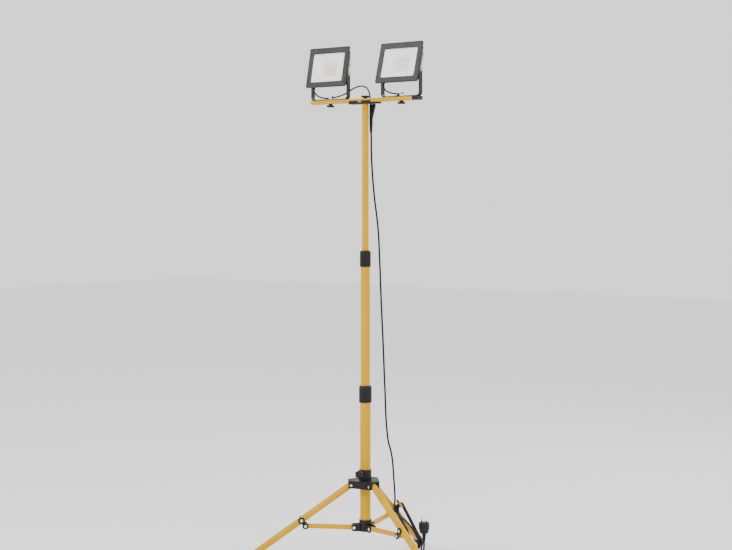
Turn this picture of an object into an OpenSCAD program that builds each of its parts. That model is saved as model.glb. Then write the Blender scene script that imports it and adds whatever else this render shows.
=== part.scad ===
// Twin floodlight work light on a folding telescopic tripod.
// Origin: on the mast axis at floor level. +X along the crossbar, lamps face -Y, +Z up.

/* [Mast] */
// Outer diameter of the lower tube
lower_d = 35; // [34:0.5:36]
// Outer diameter of the middle tube
middle_d = 30; // [29:0.5:30]
// Outer diameter of the upper tube
upper_d = 22; // [20:0.5:23]
// Wall of the mast tubes
mast_wall = 1.5; // [1.2:0.1:1.5]
// Height of the top of the upper tube
mast_top = 1551.6; // [1500:1:1600]
// Height of the top of the lower lock ring
lower_lock_top = 617.7; // [612:1:625]
// Height of the top of the upper lock ring
upper_lock_top = 1065.6; // [1040:1:1090]

/* [Tripod] */
// Height of the leg pivots above the floor
hub_z = 290; // [285:1:295]
// Radius of the leg pivots from the mast axis
leg_pivot_r = 47.5; // [46:0.5:50]
// Angle of the open legs below the horizontal
leg_dip = 35; // [34:0.5:36]
// Direction of the first leg
first_leg = 220.45; // [200:0.05:240]
// Diameter of a leg tube
leg_d = 22; // [20:0.5:22]
// Length of a leg tube from its pivot
leg_len = 484; // [480:1:484]
// Diameter of a brace tube
brace_d = 16; // [12:0.5:16]
// Distance of the leg clip along the leg
clip_s = 201; // [195:1:205]
// Distance of the brace pivot below the leg axis
clip_drop = 23; // [22:0.5:26]

/* [Head] */
// Length of the crossbar tube to the left of the mast
bar_left = 222; // [200:1:240]
// Length of the crossbar with its cap to the right of the mast
bar_right = 221; // [200:1:240]
// Depth of the crossbar, front to back
bar_depth = 25; // [22:1:28]
// Height of the crossbar
bar_h = 12.2; // [10:0.1:14]
// Distance of each lamp from the mast axis
lamp_x = 146; // [140:1:160]
// Width of a lamp's front frame
bezel_w = 165; // [150:1:170]
// Height of a lamp's front frame
bezel_h = 137; // [125:1:145]
// Backward tilt of the left lamp at rest
left_tilt = 11.48; // [0:0.01:20]
// Backward tilt of the right lamp at rest
right_tilt = 15.62; // [0:0.01:20]
// Height of the lamp pivots above the crossbar
pivot_rise = 87; // [80:1:95]

/* [Cable] */
// Diameter of the mains cable
cord_d = 6.5; // [6:0.1:7]
// Diameter of a lamp lead
lead_d = 5; // [4:0.1:5.5]

/* [Hidden] */
$fn = 48;

yellow = "#ebb40f";
black = "#1c1c1e";
graphite = "#4b4b4e";
steel = "#b8bbc0";
brass = "#b39a55";

// Play of a turning or sliding fit, and the gap between pieces that only pass each other
run = 0.05;
gap = 0.3;
// A small overshoot that keeps cut faces clean
eps = 1;
// Radius of the pivot pins, rivets and knob studs, and of their holes
pin_r = 3;
hole_r = pin_r + run;

// Mast heights
mast_bottom = 136;
lower_tube_top = 604;
middle_tube_bottom = 499;
middle_tube_top = 1052;
upper_tube_bottom = 949;
lower_ring_h = 55.2;
upper_ring_h = 53.8;
lower_ring_d = 42.6;
upper_ring_d = 36.7;
ring_lip = 3.4;
guide_h = 24;

// Leg numbers, from the first leg round
LEFT = 0;
FRONT = 1;
REAR = 2;
function leg_angle(i) = first_leg + 120 * i;

// Hub
hub_plate_top = 16;
hub_plate_t = 4;
hub_ear_drop = 9;
hub_collar_top = 50;
hub_collar_r = 20.5;
hub_arm_r = 57;
hub_arm_half = 20;
slot_half = leg_d / 2 + 0.5;
slot_in = leg_pivot_r - leg_d / 2 - eps;
hub_knob_dir = 280.45;
hub_knob_z = 40;
boss_out = 27;

// Lower hub and braces
low_z = 148.5;
low_r = 38.5;
low_collar_h = 38;
low_collar_r = 21;
ear_t = 3.6;
ear_out = 45.5;
ear_low = 137;
ear_high = 160;
ear_cut = 4;
fork_half = brace_d / 2 + 0.4;
fork_in = 20.5;
brace_r = leg_pivot_r + clip_s * cos(leg_dip) - clip_drop * sin(leg_dip);
brace_z = hub_z - clip_s * sin(leg_dip) - clip_drop * cos(leg_dip);
brace_len = norm([brace_r - low_r, brace_z - low_z]);
brace_turn = atan2(brace_z - low_z, low_r - brace_r);

// Leg fittings
leg_wall = 1.5;
brace_wall = 1.5;
clip_in = 11.2;
clip_t = 3;
clip_top_r = 11;
clip_low_r = 10;
clip_waist = 11;
foot_start = 452;
foot_r = 14;
foot_end = 490;
head_r = 5;
head_t = 2.2;

// Crossbar and saddle
bar_z = 1557;
bar_top = bar_z + bar_h;
bar_wall = 1.5;
cap_len = 25.7;
plug_len = 14;
saddle_left = 59;
saddle_right = 55;
saddle_half = 14.5;
tab_h = 6;
spigot_len = 30;

// Lamp, in its own frame: origin on the tilt axis, face towards -Y
face_y = -23.6;
face_z = 20.5;
rim_y = -15;
lip_t = 2.5;
window_w = 132;
window_h = 98;
window_r = 5;
window_up = -1;
glass_w = 140;
glass_h = 106;
glass_t = 3;
body_w = 144;
body_h = 118;
body_back = 2;
body_round = 4;
pad_w = 114;
pad_h = 34;
pad_z = -17;
pad_back = 7;
fin_back = 10.4;
cavity_floor = -4;
wall = 3;
board_w = 60;
board_h = 50;
board_t = 1.6;
mouth_w = 134;
mouth_h = 100;
skin = 1;
boss_r = 8.5;
boss_x = 73.2;
boss_in = 60;
fin_pitch = 7.8;
fin_count = 7;
fin_first = 10;
fin_base = 4.4;
fin_tip = 1.8;
gland_x = -58;
gland_y = -6.5;
gland_len = 9;
gland_hole_r = 3.2;

// Bracket
arm_x = 73.5;
arm_t = 3;
arm_w = 18;
corner_r = 12;
base_z = bar_top + gap;
pivot_z = bar_top + pivot_rise;
arm_hole_drop = 33;
arm_hole_r = 2.2;
washer_r = 7;
washer_t = 1.4;
bolt_head_t = 4;

// Knobs
lamp_knob_d = 28;
bar_knob_d = 29;
knob_t = 6.5;
knob_neck_r = 7;
knob_neck_t = 4.5;

// Cable joint
joint_x = 0;
joint_y = 24;
joint_half = 6;
joint_low = 1481;
joint_top_w = 26.5;
joint_neck_w = 12;
joint_neck_top = 1503;

// Cable hook on the rear leg, along the leg, and the hank that hangs on it
hook_s = 186;
hook_tip_s = 140;
hook_out = 42;
hook_r = 3;
hook_cap_s = 151;
hook_cap_r = 4.5;
fold_r = 19.5;
hank_t = 20;
hank_len = 196;
hank_r = 208.7;
hank_z = 173.4;
hank_lat = 28.5;
hank_dip = 48.5;
hank_skew = 5;

// Plug
plug_x = 21;
plug_y = 316;
plug_low = 74;
plug_face = 112;
plug_r = 18.5;
plug_pin_r = 2.4;
plug_pin_len = 19;
plug_pin_gap = 19;
relief_low = 46;
relief_tip_r = 4.45;
relief_root_r = 6.5;

// Route of the mains cable from the cable joint to the hank, then from the hank to the plug
cord_route = [
    [6, 24, 1480.5], [6, 24, 1460], [4, 28, 1430], [1, 32, 1400], [-1, 39, 1340], [-1, 51, 1250],
    [2, 69, 1139], [-1, 82, 1038], [-6, 98, 896], [-10, 114, 760], [-13, 125, 657],
    [-16, 135, 574], [-19, 145, 485], [-18, 155, 415], [-13, 163, 381], [-10, 170, 342],
    [-9, 177, 276], [-9, 183, 220], [-9, 188, 190], [-9, 199, 164]
];
tail_route = [
    [21, 316, 46], [21, 316, 30], [18, 318, 16], [8, 324, 7], [-4, 332, 5], [-14, 341, 7]
];
// Routes of the lamp leads from each gland to the cable joint
left_route = [
    [-204, -16, 1610], [-203, -17, 1602], [-196, -13, 1589], [-182, -4, 1580], [-165, 6, 1577],
    [-146, 11, 1578], [-120, 14, 1583], [-93, 15, 1591], [-68, 17, 1604], [-48, 20, 1612],
    [-31, 22, 1614], [-14, 24, 1608], [-3, 24, 1594], [2, 24, 1575], [4, 24, 1552]
];
right_route = [
    [88, -19, 1611], [89, -20, 1603], [95, -16, 1591], [110, -9, 1583], [126, 0, 1580],
    [137, 7, 1579], [141, 13, 1578], [136, 18, 1577], [122, 18, 1576], [100, 18, 1572],
    [72, 19, 1567], [48, 22, 1566], [30, 24, 1567], [20, 24, 1563], [17, 24, 1552]
];

// ---- helpers ----

module tube(d, wall_t, low, high) {
    translate([0, 0, low])
        difference() {
            cylinder(d = d, h = high - low);
            translate([0, 0, -eps])
                cylinder(d = d - 2 * wall_t, h = high - low + 2 * eps);
        }
}

// A cylinder along Y, centred
module pin_y(r, len) {
    rotate([90, 0, 0])
        cylinder(r = r, h = len, center = true);
}

// A cylinder along X from x0 to x1
module rod_x(r, x0, x1) {
    translate([x0, 0, 0])
        rotate([0, 90, 0])
            cylinder(r = r, h = x1 - x0);
}

// Low domed rivet head on a shank's end, at the origin along +Z
module rivet_head(r, t) {
    cylinder(r = r, h = t * 0.5);
    translate([0, 0, t * 0.5])
        cylinder(r1 = r, r2 = r * 0.6, h = t * 0.5);
}

// A shank across Y with a head at each end
module cross_rivet(half) {
    pin_y(pin_r, 2 * half);
    for (side = [-1, 1])
        translate([0, side * half, 0])
            rotate([-90 * side, 0, 0])
                rivet_head(head_r, head_t);
}

// Star-shaped grip with rounded lobes, standing on z = 0
module star_grip(d, t, lobes) {
    lobe_r = d * 0.13;
    difference() {
        cylinder(r = d / 2, h = t);
        for (k = [0 : lobes - 1])
            rotate([0, 0, (k + 0.5) * 360 / lobes])
                translate([d / 2 + lobe_r * 0.45, 0, -eps])
                    cylinder(r = lobe_r, h = t + 2 * eps);
    }
}

// Smooth tube through a list of points (Catmull-Rom), as one closed polyhedron
function spline(a, b, c, d, t) =
    0.5 * ((2 * b) + (c - a) * t + (2 * a - 5 * b + 4 * c - d) * t * t
        + (3 * b - a - 3 * c + d) * t * t * t);
function at(list, k) = list[max(0, min(len(list) - 1, k))];
function smooth(list, steps) = concat(
    [for (k = [0 : len(list) - 2], j = [0 : steps - 1])
        spline(at(list, k - 1), list[k], list[k + 1], at(list, k + 2), j / steps)],
    [list[len(list) - 1]]);
function unit(v) = v / norm(v);
function heading(p, k) = unit(at(p, k + 1) - at(p, k - 1));
function side_of(v, ref) = unit(cross(v, ref));

module swept_tube(route, d, steps, sides, ref) {
    p = smooth(route, steps);
    n = len(p);
    points = [for (k = [0 : n - 1], j = [0 : sides - 1])
        let (h = heading(p, k), u = side_of(h, ref), v = cross(h, u), q = j * 360 / sides)
        p[k] + d / 2 * (u * cos(q) + v * sin(q))];
    walls = [for (k = [0 : n - 2], j = [0 : sides - 1])
        [k * sides + j, k * sides + (j + 1) % sides,
            (k + 1) * sides + (j + 1) % sides, (k + 1) * sides + j]];
    first = [[for (j = [sides - 1 : -1 : 0]) j]];
    last = [[for (j = [0 : sides - 1]) (n - 1) * sides + j]];
    polyhedron(points = points, faces = concat(walls, first, last), convexity = 4);
}

// ---- mast ----

module lower_tube() {
    color(yellow)
        tube(lower_d, mast_wall, mast_bottom, lower_tube_top);
}

module middle_tube() {
    color(yellow)
        tube(middle_d, mast_wall, middle_tube_bottom + guide_h / 2, middle_tube_top);
}

module upper_tube() {
    color(yellow)
        difference() {
            tube(upper_d, mast_wall, upper_tube_bottom + guide_h / 2, mast_top);
            translate([0, 0, mast_top - spigot_len / 2])
                pin_y(2, upper_d + 2 * eps);
        }
}

// Plastic slider on the bottom end of an inner tube: a sleeve with a stem inside the tube
module guide(outer_r, tube_r, low) {
    difference() {
        union() {
            translate([0, 0, low])
                cylinder(r = outer_r, h = guide_h / 2);
            translate([0, 0, low + guide_h / 2])
                cylinder(r = tube_r, h = guide_h / 2);
        }
        translate([0, 0, low - eps])
            cylinder(r = tube_r - 2.5, h = guide_h + 2 * eps);
    }
}

module middle_guide() {
    color(black)
        guide(lower_d / 2 - mast_wall - run, middle_d / 2 - mast_wall, middle_tube_bottom);
}

module upper_guide() {
    color(black)
        guide(middle_d / 2 - mast_wall - run, upper_d / 2 - mast_wall, upper_tube_bottom);
}

// Clamping sleeve fixed on the end of the outer tube, with slits that let it close
module collet(outer_r, outer_tube_r, inner_tube_r, low, tube_top, high) {
    slits = 4;
    slit_w = 1.6;
    difference() {
        translate([0, 0, low])
            cylinder(r = outer_r, h = high - low);
        translate([0, 0, low - eps])
            cylinder(r = outer_tube_r, h = tube_top - low + eps);
        translate([0, 0, low])
            cylinder(r = inner_tube_r + run, h = high - low + eps);
        for (k = [0 : slits / 2 - 1])
            rotate([0, 0, k * 360 / slits + 45])
                translate([-outer_r - eps, -slit_w / 2, tube_top + 1.5])
                    cube([2 * outer_r + 2 * eps, slit_w, high - tube_top]);
    }
}

module lower_lock_collet() {
    color(black)
        collet(lower_ring_d / 2 - 1.8 - run, lower_d / 2, middle_d / 2,
            lower_lock_top - lower_ring_h + 3, lower_tube_top, lower_lock_top - ring_lip - gap);
}

module upper_lock_collet() {
    color(black)
        collet(upper_ring_d / 2 - 1.5 - run, middle_d / 2, upper_d / 2,
            upper_lock_top - upper_ring_h + 3, middle_tube_top, upper_lock_top - ring_lip - gap);
}

// Twist ring over a collet: chamfered top, shallow grip grooves
module lock_ring(d, height, top, bore_r, inner_tube_r) {
    grooves = 16;
    chamfer = 5;
    groove_r = 1.1;
    low = top - height;
    difference() {
        union() {
            translate([0, 0, low])
                cylinder(d = d, h = height - chamfer);
            translate([0, 0, top - chamfer])
                cylinder(r1 = d / 2, r2 = d / 2 - 2.6, h = chamfer);
        }
        translate([0, 0, low - eps])
            cylinder(r = bore_r, h = height - ring_lip + eps);
        translate([0, 0, low])
            cylinder(r = inner_tube_r + 0.5, h = height + eps);
        for (k = [0 : grooves - 1])
            rotate([0, 0, k * 360 / grooves])
                translate([d / 2 + groove_r * 0.5, 0, low + 4])
                    cylinder(r = groove_r, h = height - 16);
    }
}

module lower_lock_ring() {
    color(black)
        lock_ring(lower_ring_d, lower_ring_h, lower_lock_top, lower_ring_d / 2 - 1.8, middle_d / 2);
}

module upper_lock_ring() {
    color(black)
        lock_ring(upper_ring_d, upper_ring_h, upper_lock_top, upper_ring_d / 2 - 1.5, upper_d / 2);
}

// ---- lower hub ----

module ear_outline() {
    polygon([[low_collar_r - 2, ear_low], [ear_out - ear_cut, ear_low], [ear_out, ear_low + ear_cut],
        [ear_out, ear_high - ear_cut], [ear_out - ear_cut, ear_high], [low_collar_r - 2, ear_high]]);
}

module lower_hub() {
    color(black)
        difference() {
            union() {
                translate([0, 0, mast_bottom])
                    cylinder(r = low_collar_r, h = low_collar_h);
                for (i = [0 : 2], side = [-1, 1])
                    rotate([0, 0, leg_angle(i)])
                        translate([0, side * (fork_half + ear_t / 2) + ear_t / 2, 0])
                            rotate([90, 0, 0])
                                linear_extrude(ear_t)
                                    ear_outline();
            }
            translate([0, 0, mast_bottom - eps])
                cylinder(d = lower_d, h = low_collar_h + 2 * eps);
            for (i = [0 : 2])
                rotate([0, 0, leg_angle(i)]) {
                    translate([fork_in, -fork_half, mast_bottom - eps])
                        cube([ear_out, 2 * fork_half, low_collar_h + 2 * eps]);
                    translate([low_r, 0, low_z])
                        pin_y(hole_r, 2 * (fork_half + ear_t + eps));
                }
        }
}

// The brace pivots' rivets: a head and a shank in each ear, nothing across the fork
module lower_hub_rivets() {
    color(steel)
        for (i = [0 : 2], side = [-1, 1])
            rotate([0, 0, leg_angle(i)])
                translate([low_r, side * fork_half, low_z])
                    rotate([-90 * side, 0, 0]) {
                        cylinder(r = pin_r, h = ear_t);
                        translate([0, 0, ear_t])
                            rivet_head(head_r, head_t);
                    }
}

// ---- sliding hub ----

module hub_outline() {
    c = 3;
    corners = [for (i = [0 : 2], p = [
            [hub_arm_r - c, -hub_arm_half], [hub_arm_r, -hub_arm_half + c],
            [hub_arm_r, hub_arm_half - c], [hub_arm_r - c, hub_arm_half]])
        let (q = leg_angle(i)) [p.x * cos(q) - p.y * sin(q), p.x * sin(q) + p.y * cos(q)]];
    polygon(corners);
}

module leg_hub() {
    block_low = hub_z - hub_ear_drop;
    plate_low = hub_z + hub_plate_top - hub_plate_t;
    plate_high = hub_z + hub_plate_top;
    color(black)
        difference() {
            union() {
                translate([0, 0, block_low])
                    linear_extrude(plate_high - block_low)
                        hub_outline();
                translate([0, 0, plate_high])
                    cylinder(r = hub_collar_r, h = hub_collar_top - hub_plate_top);
                translate([0, 0, hub_z + hub_knob_z])
                    rotate([0, 90, hub_knob_dir])
                        cylinder(r = knob_neck_r, h = boss_out);
            }
            translate([0, 0, block_low - eps])
                cylinder(r = lower_d / 2 + run, h = hub_collar_top + hub_ear_drop + 2 * eps);
            translate([0, 0, hub_z + hub_knob_z])
                rotate([0, 90, hub_knob_dir])
                    cylinder(r = hole_r, h = boss_out + eps);
            for (i = [0 : 2])
                rotate([0, 0, leg_angle(i)]) {
                    translate([slot_in, -slot_half, block_low - eps])
                        cube([hub_arm_r, 2 * slot_half, plate_low - block_low + eps]);
                    translate([leg_pivot_r, 0, hub_z])
                        pin_y(hole_r, 2 * (hub_arm_half + eps));
                    for (side = [-1, 1])
                        translate([leg_pivot_r, side * hub_arm_half, hub_z])
                            rotate([-90 * side, 0, 0])
                                cylinder(r = head_r + gap, h = hub_arm_half);
                }
        }
}

module leg_hub_pins() {
    color(steel)
        for (i = [0 : 2])
            rotate([0, 0, leg_angle(i)])
                translate([leg_pivot_r, 0, hub_z])
                    cross_rivet(hub_arm_half);
}

// ---- legs: children drawn along +X from the leg pivot ----

module on_leg(i) {
    rotate([0, 0, leg_angle(i)])
        translate([leg_pivot_r, 0, hub_z])
            rotate([0, leg_dip, 0])
                children();
}

module leg_tube() {
    color(yellow)
        difference() {
            union() {
                rod_x(leg_d / 2, 0, leg_len);
                sphere(r = leg_d / 2);
            }
            rod_x(leg_d / 2 - leg_wall, 0, leg_len + eps);
            pin_y(hole_r, leg_d + 2 * eps);
            translate([clip_s, 0, 0])
                pin_y(hole_r, leg_d + 2 * eps);
        }
}

// Rubber boot: the world floor cuts its sole flat
module leg_foot(i) {
    reach = 600;
    color(black)
        difference() {
            on_leg(i) {
                rod_x(foot_r, foot_start, foot_end);
                translate([foot_end, 0, 0])
                    sphere(r = foot_r);
            }
            on_leg(i)
                rod_x(leg_d / 2, foot_start - eps, leg_len);
            translate([-reach, -reach, -foot_r * 4])
                cube([2 * reach, 2 * reach, foot_r * 4]);
        }
}

// One side plate of a leg clip, in the XZ plane, at y
module clip_plate(y) {
    translate([0, y + clip_t / 2, 0])
        rotate([90, 0, 0])
            difference() {
                union() {
                    cylinder(r = clip_top_r, h = clip_t);
                    translate([0, -clip_drop, 0])
                        cylinder(r = clip_low_r, h = clip_t);
                    translate([-clip_waist / 2, -clip_drop, 0])
                        cube([clip_waist, clip_drop, clip_t]);
                }
                for (drop = [0, clip_drop])
                    translate([0, -drop, -eps])
                        cylinder(r = hole_r, h = clip_t + 2 * eps);
            }
}

module leg_clip() {
    color(graphite)
        translate([clip_s, 0, 0])
            for (side = [-1, 1])
                clip_plate(side * (clip_in + clip_t / 2));
}

module clip_rivets() {
    color(steel)
        translate([clip_s, 0, 0])
            for (drop = [0, clip_drop])
                translate([0, 0, -drop])
                    cross_rivet(clip_in + clip_t);
}

module brace_tube(i) {
    color(yellow)
        rotate([0, 0, leg_angle(i)])
            translate([brace_r, 0, brace_z])
                rotate([0, brace_turn, 0])
                    difference() {
                        union() {
                            rod_x(brace_d / 2, 0, brace_len);
                            sphere(r = brace_d / 2);
                            translate([brace_len, 0, 0])
                                sphere(r = brace_d / 2);
                        }
                        rod_x(brace_d / 2 - brace_wall, 0, brace_len);
                        for (s = [0, brace_len])
                            translate([s, 0, 0])
                                pin_y(hole_r, brace_d + 2 * eps);
                    }
}

module left_leg() {
    on_leg(LEFT) leg_tube();
}
module front_leg() {
    on_leg(FRONT) leg_tube();
}
module rear_leg() {
    on_leg(REAR) leg_tube();
}
module left_foot() {
    leg_foot(LEFT);
}
module front_foot() {
    leg_foot(FRONT);
}
module rear_foot() {
    leg_foot(REAR);
}
module left_clip() {
    on_leg(LEFT) leg_clip();
}
module front_clip() {
    on_leg(FRONT) leg_clip();
}
module rear_clip() {
    on_leg(REAR) leg_clip();
}
module left_clip_rivets() {
    on_leg(LEFT) clip_rivets();
}
module front_clip_rivets() {
    on_leg(FRONT) clip_rivets();
}
module rear_clip_rivets() {
    on_leg(REAR) clip_rivets();
}
module left_brace() {
    brace_tube(LEFT);
}
module front_brace() {
    brace_tube(FRONT);
}
module rear_brace() {
    brace_tube(REAR);
}

// ---- mast head and crossbar ----

module saddle_tab(x0, x1) {
    tab_t = saddle_half - bar_depth / 2 - gap;
    for (side = [-1, 1])
        translate([x0, side > 0 ? saddle_half - tab_t : -saddle_half, bar_z - eps])
            cube([x1 - x0, tab_t, tab_h + eps]);
}

module mast_head() {
    color(black)
        difference() {
            union() {
                translate([-saddle_left, -saddle_half, mast_top])
                    cube([saddle_left + saddle_right, 2 * saddle_half, bar_z - mast_top]);
                saddle_tab(-saddle_left, -23);
                saddle_tab(-7, 30);
                translate([0, 0, mast_top - spigot_len])
                    cylinder(d = upper_d - 2 * mast_wall, h = spigot_len);
            }
            translate([0, 0, mast_top - spigot_len - eps])
                cylinder(r = hole_r, h = spigot_len + bar_h);
            translate([0, 0, mast_top - spigot_len / 2])
                pin_y(2, upper_d + 2 * eps);
        }
}

module crossbar() {
    yellow_end = bar_right - cap_len;
    color(yellow)
        difference() {
            translate([-bar_left, -bar_depth / 2, bar_z])
                cube([bar_left + yellow_end, bar_depth, bar_h]);
            translate([-bar_left - eps, -bar_depth / 2 + bar_wall, bar_z + bar_wall])
                cube([bar_left + yellow_end + 2 * eps, bar_depth - 2 * bar_wall, bar_h - 2 * bar_wall]);
            for (x = [-lamp_x, 0, lamp_x])
                translate([x, 0, bar_z - eps])
                    cylinder(r = hole_r, h = bar_h + 2 * eps);
        }
}

module crossbar_caps() {
    inner = bar_wall;
    color(black) {
        translate([bar_right - cap_len, -bar_depth / 2, bar_z])
            cube([cap_len, bar_depth, bar_h]);
        translate([bar_right - cap_len - plug_len, -bar_depth / 2 + inner, bar_z + inner])
            cube([plug_len, bar_depth - 2 * inner, bar_h - 2 * inner]);
        translate([-bar_left, -bar_depth / 2 + inner, bar_z + inner])
            cube([plug_len, bar_depth - 2 * inner, bar_h - 2 * inner]);
    }
}

module cable_joint() {
    top = bar_z - 5;
    color(black)
        translate([joint_x, joint_y + joint_half, 0])
            rotate([90, 0, 0])
                linear_extrude(2 * joint_half)
                    polygon([[0, joint_low], [joint_neck_w, joint_low], [joint_neck_w, joint_neck_top],
                        [joint_top_w, top], [0, top]]);
}

module left_lead() {
    color(black)
        swept_tube(left_route, lead_d, 3, 8, [0, 1, 0.1]);
}

module right_lead() {
    color(black)
        swept_tube(right_route, lead_d, 3, 8, [0, 0.1, 1]);
}

// ---- knobs ----

// A star knob below a plane at z, with the hole that its bolt passes through
module lamp_knob(x) {
    top = bar_z - gap;
    color(black)
        translate([x, 0, 0])
            difference() {
                union() {
                    translate([0, 0, top - knob_neck_t - knob_t])
                        star_grip(lamp_knob_d, knob_t, 6);
                    translate([0, 0, top - knob_neck_t])
                        cylinder(r = knob_neck_r, h = knob_neck_t);
                }
                translate([0, 0, top - knob_neck_t - knob_t + 1.5])
                    cylinder(r = hole_r, h = knob_neck_t + knob_t);
            }
}

module left_lamp_knob() {
    lamp_knob(-lamp_x);
}
module right_lamp_knob() {
    lamp_knob(lamp_x);
}

module crossbar_knob() {
    low = bar_top + gap;
    color(black) {
        translate([0, 0, low])
            cylinder(r = knob_neck_r, h = knob_neck_t - 1);
        translate([0, 0, low + knob_neck_t - 1])
            star_grip(bar_knob_d, knob_t, 6);
    }
    color(steel)
        translate([0, 0, mast_top - spigot_len + 6])
            cylinder(r = pin_r, h = low - mast_top + spigot_len - 6);
}

module hub_knob() {
    start = boss_out + gap;
    neck_len = 13;
    grip_t = 13;
    color(black)
        translate([0, 0, hub_z + hub_knob_z])
            rotate([0, 90, hub_knob_dir]) {
                translate([0, 0, start])
                    cylinder(r = knob_neck_r - 0.5, h = neck_len);
                translate([0, 0, start + neck_len])
                    star_grip(lamp_knob_d, grip_t, 6);
                translate([0, 0, lower_d / 2 + 2 * gap])
                    cylinder(r = pin_r, h = start - lower_d / 2 - 2 * gap);
            }
}

// ---- lamp brackets ----

module bracket(x) {
    half = arm_x + arm_t;
    color(black)
        translate([x, 0, 0])
            difference() {
                union() {
                    translate([-half + corner_r, -arm_w / 2, base_z])
                        cube([2 * (half - corner_r), arm_w, arm_t]);
                    for (side = [-1, 1]) {
                        translate([side * (arm_x + arm_t / 2), 0, base_z + corner_r])
                            translate([-arm_t / 2, -arm_w / 2, 0])
                                cube([arm_t, arm_w, pivot_z - base_z - corner_r]);
                        translate([side * (arm_x + arm_t / 2), 0, pivot_z])
                            rotate([0, 90, 0])
                                cylinder(d = arm_w, h = arm_t, center = true);
                        translate([side * (half - corner_r), 0, base_z + corner_r])
                            rotate([90, side > 0 ? 90 : 180, 0])
                                rotate_extrude(angle = 90)
                                    translate([corner_r - arm_t, -arm_w / 2])
                                        square([arm_t, arm_w]);
                    }
                }
                translate([0, 0, base_z - eps])
                    cylinder(r = hole_r, h = arm_t + 2 * eps);
                translate([0, 0, pivot_z])
                    rod_x(hole_r, -half - eps, half + eps);
                translate([0, 0, pivot_z - arm_hole_drop])
                    rod_x(arm_hole_r, -half - eps, half + eps);
            }
}

// Carriage bolt with its nut on the bracket's base, down into the knob
module lamp_bolt(x) {
    nut_t = 5;
    nut_r = 6.5;
    top = base_z + arm_t;
    bottom = bar_z - gap - knob_neck_t - knob_t + 2;
    color(steel)
        translate([x, 0, 0]) {
            translate([0, 0, top])
                cylinder(r = nut_r, h = nut_t, $fn = 6);
            translate([0, 0, bottom])
                cylinder(r = pin_r, h = top + nut_t + 2 - bottom);
        }
}

module left_bracket() {
    bracket(-lamp_x);
}
module right_bracket() {
    bracket(lamp_x);
}
module left_bolt() {
    lamp_bolt(-lamp_x);
}
module right_bolt() {
    lamp_bolt(lamp_x);
}

// ---- lamp heads: children drawn in the lamp's own frame ----

module on_lamp(x, tilt) {
    translate([x, 0, pivot_z])
        rotate([-tilt, 0, 0])
            children();
}

// Rounded rectangle plate in XZ, centred at height z, from y0 to y1
module plate(w, h, r, z, y0, y1) {
    translate([0, y1, z])
        rotate([90, 0, 0])
            linear_extrude(y1 - y0) {
                square([w - 2 * r, h], center = true);
                square([w, h - 2 * r], center = true);
                for (sx = [-1, 1], sz = [-1, 1])
                    translate([sx * (w / 2 - r), sz * (h / 2 - r)])
                        circle(r = r);
            }
}

module fin(z) {
    translate([-body_w / 2, 0, z])
        rotate([90, 0, 90])
            linear_extrude(body_w)
                polygon([[body_back - eps, -fin_base / 2], [body_back - eps, fin_base / 2],
                    [fin_back, fin_tip / 2], [fin_back, -fin_tip / 2]]);
}

module housing() {
    color(black)
        difference() {
            union() {
                plate(body_w, body_h, body_round, face_z, rim_y, body_back);
                for (k = [0 : fin_count - 1])
                    fin(fin_first + k * fin_pitch);
                plate(pad_w, pad_h, 3, pad_z, body_back - eps, pad_back);
                rod_x(boss_r, -boss_x, boss_x);
            }
            difference() {
                plate(body_w - 2 * wall, body_h - 2 * wall, body_round / 2, face_z, rim_y - eps,
                    cavity_floor);
                for (side = [-1, 1])
                    rod_x(boss_r, side > 0 ? boss_in : -boss_x, side > 0 ? boss_x : -boss_in);
            }
            rod_x(hole_r, -boss_x - eps, -boss_in);
            rod_x(hole_r, boss_in, boss_x + eps);
            translate([gland_x, gland_y, face_z - body_h / 2 - eps])
                cylinder(r = gland_hole_r, h = wall + 2 * eps);
        }
}

module bezel() {
    color(graphite)
        difference() {
            plate(bezel_w, bezel_h, 3, face_z, face_y, rim_y);
            plate(window_w, window_h, window_r, face_z + window_up, face_y - eps, rim_y + eps);
            plate(glass_w + 1, glass_h + 1, window_r, face_z + window_up, face_y + lip_t, rim_y + eps);
        }
}

module glass() {
    front = face_y + lip_t;
    color("white", 0.5)
        plate(glass_w, glass_h, window_r, face_z + window_up, front, front + glass_t);
}

// Open pyramid between the glass and the LED board
module reflector() {
    front = face_y + lip_t + glass_t;
    depth = cavity_floor - board_t - front;
    color("white")
        translate([0, front + depth, face_z + window_up])
            rotate([90, 0, 0])
                difference() {
                    linear_extrude(depth, scale = [mouth_w / board_w, mouth_h / board_h])
                        square([board_w, board_h], center = true);
                    translate([0, 0, -0.01])
                        linear_extrude(depth + 0.02,
                            scale = [(mouth_w - 2 * skin) / (board_w - 2 * skin),
                                (mouth_h - 2 * skin) / (board_h - 2 * skin)])
                            square([board_w - 2 * skin, board_h - 2 * skin], center = true);
                }
}

module led_board() {
    color("#f3ecd2")
        plate(board_w, board_h, 1.5, face_z + window_up, cavity_floor - board_t, cavity_floor);
}

module gland() {
    top = face_z - body_h / 2;
    color(black)
        translate([gland_x, gland_y, top - gland_len])
            difference() {
                union() {
                    cylinder(r = 4, h = gland_len);
                    translate([0, 0, gland_len - 4])
                        cylinder(r = 6, h = 4, $fn = 6);
                }
                translate([0, 0, -eps])
                    cylinder(d = lead_d, h = gland_len + 2 * eps);
            }
}

module pivot_bolts() {
    inside = 63;
    start = arm_x + arm_t + gap;
    color(brass)
        for (side = [-1, 1])
            rotate([0, 0, side > 0 ? 0 : 180]) {
                rod_x(pin_r, inside, start);
                rod_x(washer_r, start, start + washer_t);
                translate([start + washer_t, 0, 0])
                    rotate([0, 90, 0])
                        cylinder(r = 5.2, h = bolt_head_t, $fn = 6);
            }
}

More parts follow.
